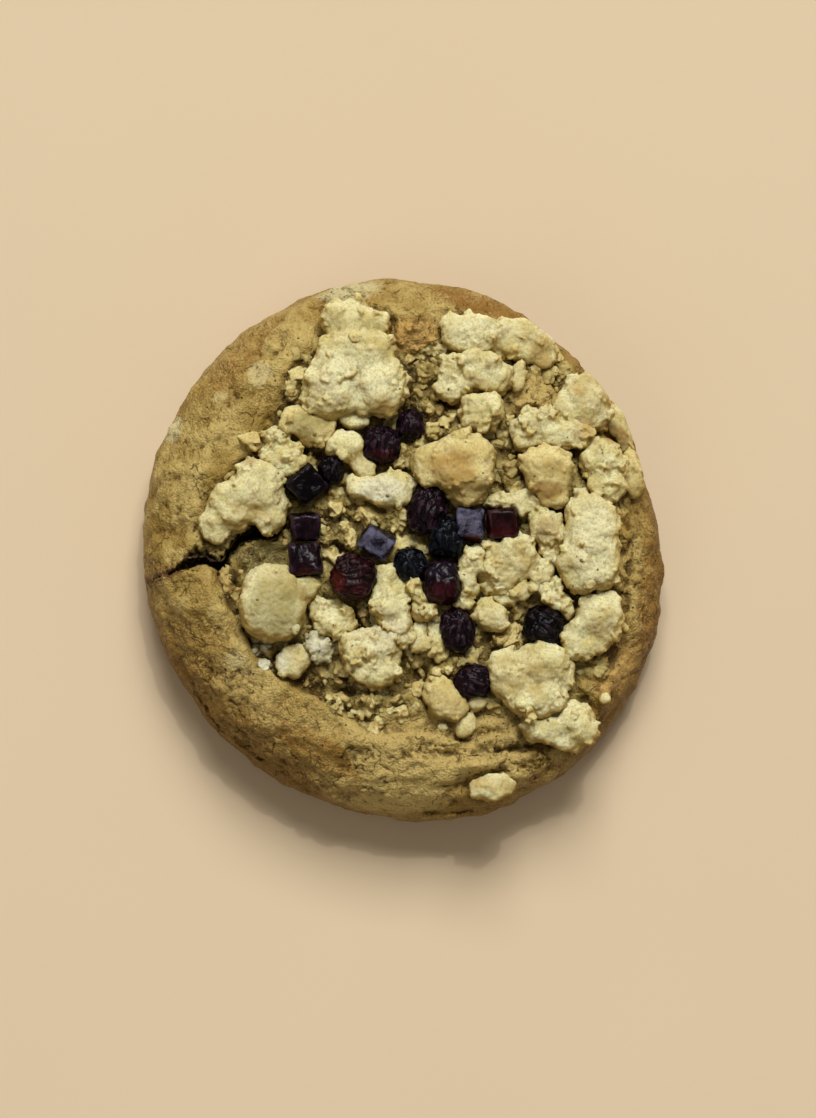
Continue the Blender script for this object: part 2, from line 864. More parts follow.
DOUGH_STAINS = (
    *stains(
        Tone.BLOOM, (-11.6, 52.6, 15.0, 6.4, 1.0, 6), (-46.0, 24.2, 3.6, 6.2, 1.0, -20), lowest=7.0,
    ),
    *stains(
        Tone.CREAM, (-28.8, 35.0, 6.4, 5.4, 0.9, 30), (-36.8, 30.4, 4.4, 3.0, 0.6, 30),
        (-33.0, -22.8, 8.0, 5.0, 0.6, -30),
    ),
    *stains(
        Tone.TOAST, (-10.8, -48.2, 6.4, 5.0, 0.4), (9.6, 45.0, 9.0, 3.4, 0.6, -10),
        (18.0, 49.6, 36.0, 10.0, 1.0, -24), (-16.0, -40.4, 26.0, 8.0, 0.55, -30),
        (49.0, -9.0, 30.0, 5.0, 0.7, 88), (-33.0, 39.0, 28.0, 12.0, 0.5, 48),
    ),
    *stains(
        Tone.HONEY, (2.2, 42.6, 11.0, 9.0, 1.0), (42.6, -23.0, 15.0, 9.0, 1.0, 60),
    ),
    *stains(
        Tone.SAND, (-31.0, -28.5, 26.0, 7.0, 0.5, -50), (-16.0, -35.4, 20.0, 5.0, 0.45, -24),
        (25.8, 30.4, 11.0, 9.0, 1.0), (8.0, -39.5, 46.0, 18.0, 0.9, 5),
        (-1.0, -50.2, 24.0, 6.0, 0.9, 2),
    ),
    *stains(
        Tone.FOLD, (33.0, -31.5, 16.0, 8.0, 0.6, 50),
    ),
    *stains(
        Tone.MOSS, (-28.5, -1.8, 13.0, 8.0, 0.9, 10),
    ),
    *stains(
        Tone.RUST, (-48.0, -5.0, 11.0, 3.2, 0.85, 22),
    ),
    *stains(
        Tone.SOOT, (-39.6, -1.8, 8.0, 2.8, 1.0, -10), (-28.2, 3.6, 10.5, 3.0, 1.0, 12),
    ),
)


# ------------------------------------------------------------------------------------------ granules

class Granules:
    """Small rounded crumbs that are fused to a clump or strewn loose, a few shapes used over and over."""

    SHAPES = 6
    DENT = 0.42
    SEED = 5

    def __init__(self, fineness: int) -> None:
        """Models the shapes once.

        Args:
            fineness: How often the first ball is divided. 1 is 20 faces, 2 is 80.
        """
        self.fineness = fineness
        self.shapes = [self.model(number) for number in range(self.SHAPES)]

    def model(self, number: int) -> tuple[np.ndarray, np.ndarray]:
        """Models one granule a millimetre in radius and keeps its mesh as arrays.

        Args:
            number: Which shape it is.

        Returns:
            Its points, and its triangles as rows of three.
        """
        bpy.ops.mesh.primitive_ico_sphere_add(subdivisions=self.fineness, radius=1.0)
        ball = bpy.context.active_object
        select_only(ball)
        bpy.ops.object.mode_set(mode="EDIT")
        bpy.ops.mesh.select_all(action="SELECT")
        bpy.ops.transform.vertex_random(offset=self.DENT, uniform=0.7, normal=0.4, seed=self.SEED + number)
        bpy.ops.object.mode_set(mode="OBJECT")
        points = points_of(ball) * MM
        corners = np.array([tuple(face.vertices) for face in ball.data.polygons])
        mesh = ball.data
        bpy.data.objects.remove(ball)
        bpy.data.meshes.remove(mesh)
        return points, corners

    def copies(
        self, name: str, places: np.ndarray, radii: np.ndarray, draw: np.random.Generator,
        flatness: float = 0.25,
    ) -> bpy.types.Object:
        """Makes one object of many granules, each turned its own way.

        Args:
            name: The object's name.
            places: Their middles in millimetres.
            radii: Their radii in millimetres.
            draw: Where the chance comes from.
            flatness: How much they differ from round.

        Returns:
            The object.
        """
        quaternions = draw.normal(size=(len(places), 4))
        quaternions /= np.linalg.norm(quaternions, axis=1)[:, None]
        w, x, y, z = quaternions.T
        turns = np.array([
            [1 - 2 * (y * y + z * z), 2 * (x * y - w * z), 2 * (x * z + w * y)],
            [2 * (x * y + w * z), 1 - 2 * (x * x + z * z), 2 * (y * z - w * x)],
            [2 * (x * z - w * y), 2 * (y * z + w * x), 1 - 2 * (x * x + y * y)],
        ]).transpose(2, 0, 1)
        stretch = 1 + flatness * draw.uniform(-1, 1, size=(len(places), 3))
        kinds = draw.integers(self.SHAPES, size=len(places))
        all_points, all_corners, used = [], [], 0
        for kind, (shape, corners) in enumerate(self.shapes):
            chosen = np.flatnonzero(kinds == kind)
            local = shape[None] * (stretch[chosen] * radii[chosen, None])[:, None, :]
            placed = np.einsum("nij,npj->npi", turns[chosen], local) + places[chosen, None, :]
            starts = used + np.arange(len(chosen)) * len(shape)
            all_points.append(placed.reshape(-1, 3))
            all_corners.append((corners[None] + starts[:, None, None]).reshape(-1, 3))
            used += placed.shape[0] * placed.shape[1]
        mesh = bpy.data.meshes.new(name)
        points = np.concatenate(all_points) * MM
        triangles = np.concatenate(all_corners)
        mesh.from_pydata(points.tolist(), [], triangles.tolist())
        made = bpy.data.objects.new(name, mesh)
        bpy.context.scene.collection.objects.link(made)
        return made


# -------------------------------------------------------------------------------------------- makers

@dataclass
class Maker:
    """Builds one piece of the dressed cookie, dresses it and keeps it."""

    finish: bpy.types.Material
    piece: bpy.types.Object = field(init=False)

    def dress(self) -> None:
        """Keeps what the finish reads and hands the piece over. Every maker does it in its own way."""
        raise NotImplementedError

    def hand_over(self, slot: str, node: str = "") -> None:
        """Gives the piece its finish and hangs it on the cookie.

        Args:
            slot: The material slot that it belongs to.
            node: The solid whose place it takes, if it takes one's.
        """
        self.piece.data.materials.append(self.finish)
        select_only(self.piece)
        bpy.ops.object.shade_smooth()
        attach(self.piece, "root")
        if node:
            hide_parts(node)

    def dress_as_crumb(self, wide: int, near: int, sides: int, node: str = "") -> None:
        """Keeps what the streusel finish reads and hands the piece over.

        Args:
            wide: How often places are averaged to find its hollows.
            near: The same for its grain. 0 is for none.
            sides: How often normals are averaged to find its sides.
            node: The solid whose place it takes, if it takes one's.
        """
        set_attribute(self.piece, "proud", standing_proud(self.piece, wide))
        set_attribute(self.piece, "grain", standing_proud(self.piece, near))
        set_attribute(self.piece, "turned", turned_away(self.piece, sides))
        set_stains(self.piece, CRUMB_STAINS)
        self.hand_over("streusel", node)

    def hand_in(self, lowest: np.ndarray, highest: np.ndarray) -> None:
        """Dresses the built piece and holds it inside a box.

        Args:
            lowest: The box's lowest corner in millimetres.
            highest: Its highest corner.
        """
        self.dress()
        keep_in_box(self.piece, lowest, highest)


# ------------------------------------------------------------------------------------------ streusel

@dataclass(frozen=True)
class Crumb:
    """How a clump's surface is broken up. Counts are for each square centimetre, the rest millimetres."""

    granules: float
    granule_sizes: tuple[float, float]
    on_top: float  # how much of the breaking up its top shows, against its sides
    waves: float
    lumps: float
    bulges: float  # what the bits that a clump is made of stand out by
    crumbs: float
    sand: float
    grit: float
    roundness: int
    softness: int


class Make(Enum):
    """The ways in which the streusel clumps came out."""

    CRUMBLY = Crumb(18, (0.50, 1.50), 0.75, 1.7, 0.9, 1.1, 0.38, 0.24, 0.20, 16, 3)
    SLAB = Crumb(14, (0.40, 1.20), 0.30, 1.8, 1.0, 0.8, 0.42, 0.25, 0.22, 28, 4)
    CAKED = Crumb(10, (0.40, 1.00), 0.32, 1.2, 0.9, 0.7, 0.40, 0.24, 0.22, 22, 4)
    SMOOTH = Crumb(4, (0.35, 0.80), 0.40, 0.8, 0.6, 0.5, 0.32, 0.23, 0.22, 14, 4)
    TUFT = Crumb(60, (0.35, 0.95), 1.00, 1.0, 1.0, 1.4, 0.55, 0.36, 0.20, 4, 2)


@dataclass
class StreuselClump(Maker):
    """A clump of streusel, grown over its solid."""

    node: str
    make: Make
    number: int
    first_voxel: float = 0.42
    voxel: float = 0.21
    swell: float = 0.16
    large: float = 15.0  # width from which a clump takes its waves in full
    wave_size: float = 6.5
    lump_size: float = 3.2
    bulge_size: float = 3.6
    crumb_size: float = 1.7
    sand_size: float = 0.95
    grit_size: float = 0.8
    wide_view: int = 60
    near_view: int = 6
    side_view: int = 12
    give: float = 1.8  # how far inside the dough's outline the pressing in starts

    def build(self, granules: Granules) -> None:
        """Copies the solid, sinks granules into it, and breaks its surface up.

        Args:
            granules: The shapes to fuse to it.
        """
        crumb = self.make.value
        self.piece = merged_copy(self.node, f"{self.node}_crumb")
        remesh(self.piece, self.first_voxel)
        size = min(self.piece.dimensions[:2]) / MM
        share = min(1.0, size / self.large)
        soften(self.piece, round(crumb.roundness * max(share, 0.7)))
        self.weigh_sides("loose", crumb.on_top)
        self.push(
            Push(Relief.LUMPS, self.wave_size, crumb.waves * share),
            Push(Relief.LUMPS, self.lump_size, crumb.lumps, 0.5 - self.swell / crumb.lumps),
            Push(Relief.GRANULES, self.bulge_size, -crumb.bulges, 0.30, "loose"),
        )
        self.add_granules(granules, crumb)
        remesh(self.piece, self.voxel)
        soften(self.piece, crumb.softness)
        self.weigh_sides("looser", crumb.on_top)
        self.push(
            Push(Relief.GRANULES, self.crumb_size, -crumb.crumbs, 0.30, "looser"),
            Push(Relief.GRANULES, self.sand_size, -crumb.sand, 0.30),
            Push(Relief.LUMPS, self.grit_size, crumb.grit, depth=3),
        )

    def push(self, *pushes: Push) -> None:
        """Gives the clump's surface one unevenness after the other."""
        for push in pushes:
            push.shape(self.piece)

    def hold_in(self, reach: np.ndarray) -> None:
        """Presses in what would overhang the dough.

        Args:
            reach: The dough's radius for every 3 degrees from +X.
        """
        points = points_of(self.piece)
        radius = np.hypot(points[:, 0], points[:, 1])
        angles = np.degrees(np.arctan2(points[:, 1], points[:, 0])) % 360
        rim = np.interp(angles, np.arange(120) * 3 + 1.5, reach, period=360)
        over = np.maximum(radius - (rim - self.give), 0.0)
        pressed = radius - over + self.give * (1 - np.exp(-over / self.give))
        outer = over > 0
        points[outer, :2] *= (pressed[outer] / radius[outer])[:, None]
        set_points(self.piece, points)

    def weigh_sides(self, group: str, on_top: float) -> None:
        """Weighs the clump's sides fully and its top less, as a vertex group."""
        upward = averaged(self.piece, normals_of(self.piece), 8)[:, 2]
        set_group(self.piece, group, on_top + (1 - on_top) * smooth_step(0.9, 0.4, upward))

    def add_granules(self, granules: Granules, crumb: Crumb) -> None:
        """Joins granules to the clump, half sunk in its surface.

        Args:
            granules: The shapes to copy.
            crumb: Says how many there are, how big and where.
        """
        draw = np.random.default_rng(1000 + self.number)
        mesh = self.piece.data
        mesh.calc_loop_triangles()
        corners = np.empty(len(mesh.loop_triangles) * 3, np.int32)
        mesh.loop_triangles.foreach_get("vertices", corners)
        triangles = points_of(self.piece)[corners.reshape(-1, 3)]
        normals = np.cross(triangles[:, 1] - triangles[:, 0], triangles[:, 2] - triangles[:, 0])
        areas = np.linalg.norm(normals, axis=1) / 2
        normals /= np.maximum(2 * areas, 1e-12)[:, None]
        upward = smooth_step(0.3, 0.95, normals[:, 2])
        liking = areas * (1 + (crumb.on_top - 1) * upward) * (normals[:, 2] > -0.3)
        count = int(crumb.granules * areas[normals[:, 2] > -0.3].sum() / 100)
        if not count:
            return
        chosen = draw.choice(len(areas), size=count, p=liking / liking.sum())
        shares = draw.dirichlet((1, 1, 1), size=count)
        surface = np.einsum("nk,nkj->nj", shares, triangles[chosen])
        low, high = crumb.granule_sizes
        radii = low + (high - low) * draw.random(count) ** 2.2
        places = surface - normals[chosen] * (radii * draw.uniform(0.05, 0.6, count))[:, None]
        added = granules.copies("granules", places, radii, draw)
        select_only(self.piece)
        added.select_set(True)
        bpy.ops.object.join()

    def dress(self) -> None:
        """Dresses the clump as crumb in its solid's place."""
        self.dress_as_crumb(self.wide_view, self.near_view, self.side_view, self.node)


# What isn't named here came out crumbly.
STREUSEL_MAKES = {
    "near_edge_chip": Make.SMOOTH, "round_disc": Make.SMOOTH,
    "near_left_tuft": Make.TUFT, "left_tuft": Make.TUFT,
    **dict.fromkeys((
        "apricot", "mid_ridge", "near_left_smooth", "right_smooth", "near_smooth", "right_egg",
        "near_right_slab", "left_clump",
    ), Make.CAKED),
    **dict.fromkeys((
        "far_slab", "far_left_slab", "mid_left_clump", "right_slab", "near_right_clump", "right_near_clump",
        "left_tan_lump", "right_far_lump", "edge_right", "edge_right_far", "far_chip",
    ), Make.SLAB),
}


# --------------------------------------------------------------------------------------------- dough

@dataclass(frozen=True)
class Crease:
    """A line that the baking opened in the skin, with an edge that may wander by so many millimetres."""

    depth: float
    half_width: float
    path: tuple[Place, ...]
    ragged: float = 0.0

    def depths(self, points: np.ndarray) -> np.ndarray:
        """Says how deep the line is at each place.

        Args:
            points: Places in millimetres.

        Returns:
            One depth in millimetres for each.
        """
        distance = line_distance(points, self.path)
        near = np.flatnonzero(distance < 4 * self.half_width + 2 * self.ragged)
        if self.ragged:
            places = [Vector(point) for point in points[near]]
            wander = [noise.noise(place / 1.1) + 0.6 * noise.noise(place / 0.5) for place in places]
            distance[near] += self.ragged * np.array(wander)
        found = np.zeros(len(points))
        found[near] = self.depth * np.exp(-((np.maximum(distance[near], 0.0) / self.half_width) ** 2))
        return found


@dataclass
class Dough(Maker):
    """The cookie's body: a baked rim with fine cracks round a rough, crumb-filled middle."""

    voxel: float = 0.37
    triangles: int = 192_000
    wander: float = 2.2
    lip: float = 0.35
    gutter: float = 0.5
    moat: float = 0.8
    moat_width: float = 0.9
    plate: float = 3.6  # width of the plates between the fine cracks
    crack_depth: float = 0.45
    fold_turn: float = 9.0  # the run of the near folds, in degrees from +X
    fold_stretch: float = 2.0
    # Where the smooth rim ends, every 15 degrees anticlockwise from +X.
    rim_inner: tuple[float, ...] = (
        46.0, 47.0, 48.0, 49.0, 49.0, 47.0, 46.0, 47.5, 43.0, 36.5, 36.5, 39.0,
        40.0, 36.5, 36.0, 35.5, 34.0, 36.0, 39.0, 42.5, 46.5, 49.0, 48.0, 46.5,
    )
    crack: tuple[Place, ...] = (
        (-54.2, -7.4), (-46.1, -4.4), (-39.5, -2.4), (-36.1, -3.3), (-32.9, 1.5), (-26.3, 3.3), (-21.7, 6.2),
    )
    # Bare dough that no crumbs fell on.
    folds: Patch = Patch((10.0, -40.0), 48.0, 20.0, 1.0, 6)
    right_band: Patch = Patch((46.0, -8.0), 46.0, 13.0, 1.0, 90)
    far_knob: Patch = Patch((0.5, 45.5), 22.0, 15.0)
    sponge: Patch = Patch((26.0, 30.2), 11.5, 10.5)
    near_right: Patch = Patch((36.0, -30.0), 14.0, 9.0, 0.8, 60)
    below_crack: Patch = Patch((-28.5, -1.8), 13.0, 8.0, 1.0, 10)
    crazed: tuple[Patch, ...] = (
        Patch((-37.0, -22.0), 24.0, 14.0, 0.9, -50), Patch((-29.0, -38.0), 34.0, 9.0, 0.9, -42),
        Patch((-5.0, -44.0), 22.0, 15.0), Patch((46.0, -8.0), 46.0, 12.0, 0.8, 90),
        Patch((-47.0, -6.0), 12.0, 12.0), Patch((-27.0, -30.0), 20.0, 8.0, 0.7, -40),
        Patch((16.0, -42.0), 34.0, 16.0, 0.8), Patch((-30.0, 34.0), 30.0, 12.0, 0.45, 50),
        Patch((-44.0, 8.0), 12.0, 22.0, 0.45), Patch((2.0, 45.0), 22.0, 14.0, 0.4),
    )
    creases: tuple[Crease, ...] = (
        Crease(-0.8, 1.0, ((-51.0, -6.4), (-46.6, -4.4)), 0.5),
        Crease(3.2, 0.9, ((-43.4, -2.8), (-41.2, -0.4), (-38.0, -1.8), (-36.0, -3.4)), 1.1),
        Crease(3.0, 0.6, ((-36.0, -3.4), (-35.4, -0.8), (-33.6, 0.8), (-32.0, 2.6)), 0.8),
        Crease(3.6, 1.1, ((-32.4, 2.4), (-28.6, 3.8), (-25.6, 3.4), (-22.6, 5.4)), 1.1),
        Crease(0.5, 0.35, ((-33.2, -24.0), (-31.8, -25.8), (-30.4, -26.6), (-28.4, -27.4)), 0.4),
        Crease(0.45, 0.35, ((-6.8, -38.6), (-4.6, -40.6), (-4.9, -42.8), (-2.0, -44.4), (-1.2, -47.6))),
        Crease(0.35, 0.35, ((-43.0, -19.8), (-38.2, -19.0), (-33.6, -21.2))),
        Crease(1.1, 0.45, ((-41.4, -28.4), (-39.0, -32.6), (-36.4, -36.4)), 0.5),
        Crease(1.1, 0.45, ((-33.6, -37.6), (-31.0, -40.0), (-28.4, -42.0)), 0.5),
        Crease(1.0, 0.8, ((4.5, -36.0), (11.9, -37.4), (19.3, -36.0), (22.9, -33.8)), 0.8),
        Crease(1.3, 0.9, ((0.3, -41.0), (6.7, -40.4), (14.9, -41.8), (21.3, -39.6), (28.7, -39.0)), 0.9),
        Crease(1.2, 0.8, ((12.9, -47.0), (20.7, -43.6), (28.7, -42.0)), 0.8),
        Crease(0.6, 0.6, ((4.5, -52.0), (11.9, -52.4), (19.3, -50.6)), 0.6),
        Crease(0.8, 0.45, ((33.4, -22.2), (36.0, -21.0), (38.4, -19.8))),
        Crease(0.6, 0.4, ((4.2, -52.6), (8.8, -52.8), (13.6, -52.0))),
        Crease(0.5, 0.35, ((-20.0, 38.4), (-22.4, 33.6), (-24.0, 29.6))),
        Crease(0.4, 0.3, ((-45.6, 8.6), (-42.6, 6.4), (-40.4, 7.0))),
    )
    relief: tuple[Push, ...] = (
        Push(Relief.LUMPS, 9.0, 3.2, group="baked_side", depth=2),
        Push(Relief.LUMPS, 4.6, 1.8, group="baked_side", depth=2),
        Push(Relief.FOLDS, 6.5, 1.5, 0.3, "baked_side", depth=2),
        Push(Relief.FOLDS, 2.8, 0.5, 0.3, "baked_side", depth=2),
        Push(Relief.LUMPS, 2.0, 0.6, group="baked_side", depth=3),
        Push(Relief.LUMPS, 3.6, 1.4, group="rough_middle", depth=2),
        Push(Relief.FOLDS, 2.6, 0.7, 0.3, "rough_middle", depth=2),
        Push(Relief.LUMPS, 8.0, 4.0, 0.5, "folded", runs=True),
        Push(Relief.FOLDS, 7.0, 2.6, 0.3, "folded", runs=True),
        Push(Relief.LUMPS, 1.7, 1.8, 0.40, "torn", depth=2),
        Push(Relief.GRANULES, 1.6, 1.2, 0.25, "porous"),
        Push(Relief.LUMPS, 1.0, 0.34, group="baked_side", depth=2),
    )

    def build(self) -> None:
        """Copies the solid, sets its rim apart from its middle, and breaks both up."""
        self.piece = merged_copy("cookie", "cookie_dough")
        remesh(self.piece, self.voxel)
        soften(self.piece, 6)
        self.round_foot()
        self.set_zones()
        guide = add_guide((0.0, 0.0, math.radians(self.fold_turn)), (self.fold_stretch, 1.0, 1.0))
        for push in self.relief:
            push.shape(self.piece, guide)
        bpy.data.objects.remove(guide)
        self.raise_lip()
        self.sink_round_toppings()
        self.press_creases()

    def round_foot(self) -> None:
        """Rounds the outline near the floor, which the solid has in straight lengths."""
        points = points_of(self.piece)
        radius = np.hypot(points[:, 0], points[:, 1])
        angles = np.degrees(np.arctan2(points[:, 1], points[:, 0])) % 360
        low = points[:, 2] < 1.5
        outline = np.zeros(120)
        np.maximum.at(outline, (angles[low] // 3).astype(int), radius[low])
        view = np.exp(-((np.arange(-12, 13) / 5.0) ** 2))
        even = np.convolve(np.tile(outline, 3), view / view.sum(), "same")[120:240]
        swell = np.interp(angles, np.arange(120) * 3 + 1.5, even / outline, period=360)
        points[:, :2] *= (1 + (swell - 1) * smooth_step(11.0, 2.0, points[:, 2]))[:, None]
        set_points(self.piece, points)

    def beyond_middle(self, points: np.ndarray) -> np.ndarray:
        """Measures how far places lie outside the wandering edge of the crumb-filled middle.

        Args:
            points: Places in millimetres.

        Returns:
            One distance in millimetres for each, below 0 inside.
        """
        angles = np.degrees(np.arctan2(points[:, 1], points[:, 0]))
        inner = np.interp(angles, np.arange(24) * 15.0, self.rim_inner, period=360)
        wander = np.array([noise.noise(Vector(p) / 4.0) for p in points]) * self.wander
        return np.hypot(points[:, 0], points[:, 1]) - inner - wander

    def bareness(self, points: np.ndarray) -> np.ndarray:
        """Says how bare of crumbs the dough is at each place, from 0 to 1."""
        bare = (self.folds, self.right_band, self.far_knob, self.sponge, self.near_right, self.below_crack)
        return strongest(bare, points)

    def crumbly_at(self, points: np.ndarray) -> np.ndarray:
        """Says how crumb-filled the dough is at each place: 0 on the rim, 1 in the middle."""
        inside = smooth_step(1.4, -1.4, self.beyond_middle(points))
        return inside * (1 - 0.85 * self.bareness(points))

    def set_zones(self) -> None:
        """Weighs the vertices for each unevenness that keeps to a part of the dough."""
        points = points_of(self.piece)
        high = smooth_step(13.0, 17.0, points[:, 2])
        inside = smooth_step(1.4, -1.4, self.beyond_middle(points))
        rough = np.maximum(inside, 0.7 * self.bareness(points)) * high
        rough *= 1 - 0.7 * strongest((self.folds, self.far_knob, self.sponge), points)
        torn = line_nearness(points, self.crack, 2.2)
        lively = 0.4 + 0.6 * smooth_step(8.0, 17.0, points[:, 2])
        pillows = self.folds.weights(points) * high
        porous = np.maximum(self.sponge.weights(points), 0.5 * self.right_band.weights(points))
        sides = smooth_step(0.2, 3.0, points[:, 2]) * lively * (1 - 0.5 * pillows)
        set_group(self.piece, "baked_side", sides)
        set_group(self.piece, "rough_middle", rough * (1 - torn))
        set_group(self.piece, "torn", torn * smooth_step(9.0, 13.0, points[:, 2]))
        set_group(self.piece, "folded", pillows)
        set_group(self.piece, "porous", porous * high)

    def reach(self) -> np.ndarray:
        """Measures how far the finished dough reaches from the middle.

        Returns:
            Its radius in millimetres for every 3 degrees from +X.
        """
        points = points_of(self.piece)
        angles = np.degrees(np.arctan2(points[:, 1], points[:, 0])) % 360
        radii = np.zeros(120)
        np.maximum.at(radii, (angles // 3).astype(int), np.hypot(points[:, 0], points[:, 1]))
        return radii

    def raise_lip(self) -> None:
        """Raises the rim's inner edge and sinks a gutter beside it."""
        points, normals = points_of(self.piece), normals_of(self.piece)
        gap = self.beyond_middle(points)
        rise = self.lip * np.exp(-(((gap - 1.4) / 1.4) ** 2))
        rise -= self.gutter * np.exp(-(((gap + 0.9) / 0.9) ** 2))
        points += normals * (rise * smooth_step(14.0, 18.0, points[:, 2]))[:, None]
        set_points(self.piece, points)

    def sink_round_toppings(self) -> None:
        """Sinks the dough round each clump and berry, which leaves them a deep edge."""
        corners, faces = [], []
        for name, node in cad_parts.items():
            if name == "cookie":
                continue
            faces += [[len(corners) + number for number in face.vertices] for face in node.data.polygons]
            corners += [vertex.co.copy() for vertex in node.data.vertices]
        tree = BVHTree.FromPolygons(corners, faces)
        points = points_of(self.piece)
        depth = np.zeros(len(points))
        for number in np.flatnonzero(points[:, 2] > 13.0):
            place = Vector(points[number]) * MM
            nearest, normal, _, distance = tree.find_nearest(place, 3 * self.moat_width * MM)
            if nearest is None:
                continue
            outside = distance / MM if (place - nearest).dot(normal) > 0 else 0.0
            uneven = max(0.0, 0.9 + 1.6 * noise.noise(Vector(points[number]) / 5.0))
            depth[number] = self.moat * uneven * math.exp(-((outside / self.moat_width) ** 2))
        points[:, 2] -= depth
        set_points(self.piece, points)

    def craze(self, points: np.ndarray) -> np.ndarray:
        """Says how near places are to one of the fine cracks between plates of dried skin.

        Args:
            points: Places in millimetres.

        Returns:
            0 off the cracks, up to 0.75 on one.
        """
        bent = [Vector(p) / self.plate + 0.45 * noise.noise_vector(Vector(p) / 2.0) for p in points]
        gaps = np.array([(d := noise.voronoi(place)[0])[1] - d[0] for place in bent])
        thin = np.array([noise.noise(Vector(p) / 3.0) for p in points])
        where = strongest(self.crazed, points) * smooth_step(-0.35, 0.25, thin)
        return 0.75 * np.exp(-((gaps / 0.07) ** 2)) * where * smooth_step(3.0, 8.0, points[:, 2])

    def press_creases(self) -> None:
        """Presses the fine lines and cracks into the skin."""
        points, normals = points_of(self.piece), normals_of(self.piece)
        above = smooth_step(2.0, 8.0, points[:, 2])
        deep = sum(crease.depths(points) for crease in self.creases)
        pressed = points - normals * (self.crack_depth * self.craze(points))[:, None]
        pressed[:, 2] -= above * deep * smooth_step(-0.1, 0.4, normals[:, 2])
        set_points(self.piece, pressed)

    def thin(self) -> None:
        """Thins the mesh to its limit, first where it lies flat and unseen."""
        points = points_of(self.piece)
        set_group(self.piece, "unseen", smooth_step(1.0, 0.2, points[:, 2]))
        faces = sum(len(face.vertices) - 2 for face in self.piece.data.polygons)
        apply_modifier(
            self.piece, "DECIMATE", ratio=min(1.0, self.triangles / faces), vertex_group="unseen",
            vertex_group_factor=40.0,
        )

    def browning(self, points: np.ndarray) -> np.ndarray:
        """Says how far the skin has browned at each place.

        Args:
            points: Places in millimetres.

        Returns:
            A share for each, more on the right-hand rim, low on the side and on the near left.
        """
        angles = np.arctan2(points[:, 1], points[:, 0])
        towards_right = 0.5 + 0.5 * np.cos(angles - math.radians(-15))
        outward = smooth_step(44.0, 53.0, np.hypot(points[:, 0], points[:, 1]))
        low = smooth_step(14.0, 6.0, points[:, 2])
        near = smooth_step(4.0, -22.0, points[:, 1]) * smooth_step(-8.0, -26.0, points[:, 0])
        near *= smooth_step(0.0, 8.0, self.beyond_middle(points))
        baked = 0.15 + 0.3 * outward + 0.5 * towards_right ** 2 * outward + 0.25 * low + 0.5 * near
        return baked * (1 - 0.7 * self.folds.weights(points))

    def dress(self) -> None:
        """Keeps what the finish reads and gives the dough to its solid's place."""
        self.thin()
        points = points_of(self.piece)
        crumbly = self.crumbly_at(points) * smooth_step(12.0, 16.0, points[:, 2])
        set_attribute(self.piece, "proud", standing_proud(self.piece, 40))
        set_attribute(self.piece, "grain", standing_proud(self.piece, 4))
        set_attribute(self.piece, "crumbly", crumbly)
        set_attribute(self.piece, "baked", self.browning(points))
        set_attribute(self.piece, "crazed", self.craze(points))
        set_stains(self.piece, DOUGH_STAINS)
        self.hand_over("baked_dough", "cookie")


# ------------------------------------------------------------------------------------------- berries

class Skin(Enum):
    """How a berry piece puckered as it dried."""

    WRINKLED = (
        Push(Relief.LUMPS, 2.6, 1.3, 0.44), Push(Relief.FOLDS, 1.4, 0.85, 0.3, runs=True),
        Push(Relief.FOLDS, 0.8, 0.30, 0.3, runs=True), Push(Relief.LUMPS, 0.8, 0.14, depth=2),
    )
    ROUNDED = (
        Push(Relief.LUMPS, 3.4, 1.0, 0.44), Push(Relief.FOLDS, 2.2, 0.7, 0.3, runs=True),
        Push(Relief.LUMPS, 0.8, 0.14, depth=2),
    )
    CUT = (
        Push(Relief.LUMPS, 3.4, 1.0, 0.44), Push(Relief.FOLDS, 2.2, 0.3, 0.3, runs=True),
        Push(Relief.LUMPS, 0.8, 0.14, depth=2),
    )


@dataclass
class Berry(Maker):
    """A piece of dried berry, wrinkled over its solid."""

    node: str
    skin: Skin
    turn: float = 10.0  # of the folds, in degrees from +Y
    glow: tuple[Stain, ...] = ()
    voxel: float = 0.17
    plumpness: float = 0.4  # how far a piece that wasn't cut nears a ball
    swelling: Push = Push(Relief.LUMPS, 3.0, 0.9, 0.0)
    lean: tuple[float, float] = (0.3, 0.2)  # of the folds about X and Y, in radians
    fold_stretch: float = 2.6

    def build(self) -> None:
        """Copies the solid and puckers its skin."""
        self.piece = merged_copy(self.node, f"{self.node}_fruit")
        uncut = self.skin is not Skin.CUT
        if uncut:
            remesh(self.piece, 2 * self.voxel)
            soften(self.piece, 40)
            self.swelling.shape(self.piece)
        remesh(self.piece, self.voxel)
        soften(self.piece, 12)
        middle = points_of(self.piece).mean(axis=0) * MM if uncut else np.zeros(3)
        guide = add_guide((*self.lean, math.radians(self.turn)), (1.0, self.fold_stretch, 1.0), tuple(middle))
        if uncut:
            apply_modifier(self.piece, "CAST", cast_type="SPHERE", factor=self.plumpness, object=guide)
        for push in self.skin.value:
            push.shape(self.piece, guide)
        bpy.data.objects.remove(guide)

    def dress(self) -> None:
        """Keeps what the finish reads and gives the berry to its solid's place."""
        set_attribute(self.piece, "proud", standing_proud(self.piece, 25))
        set_attribute(self.piece, "upward", normals_of(self.piece)[:, 2])
        set_stains(self.piece, self.glow)
        self.hand_over("wrinkled_berry" if self.skin is Skin.WRINKLED else "diced_berry", self.node)


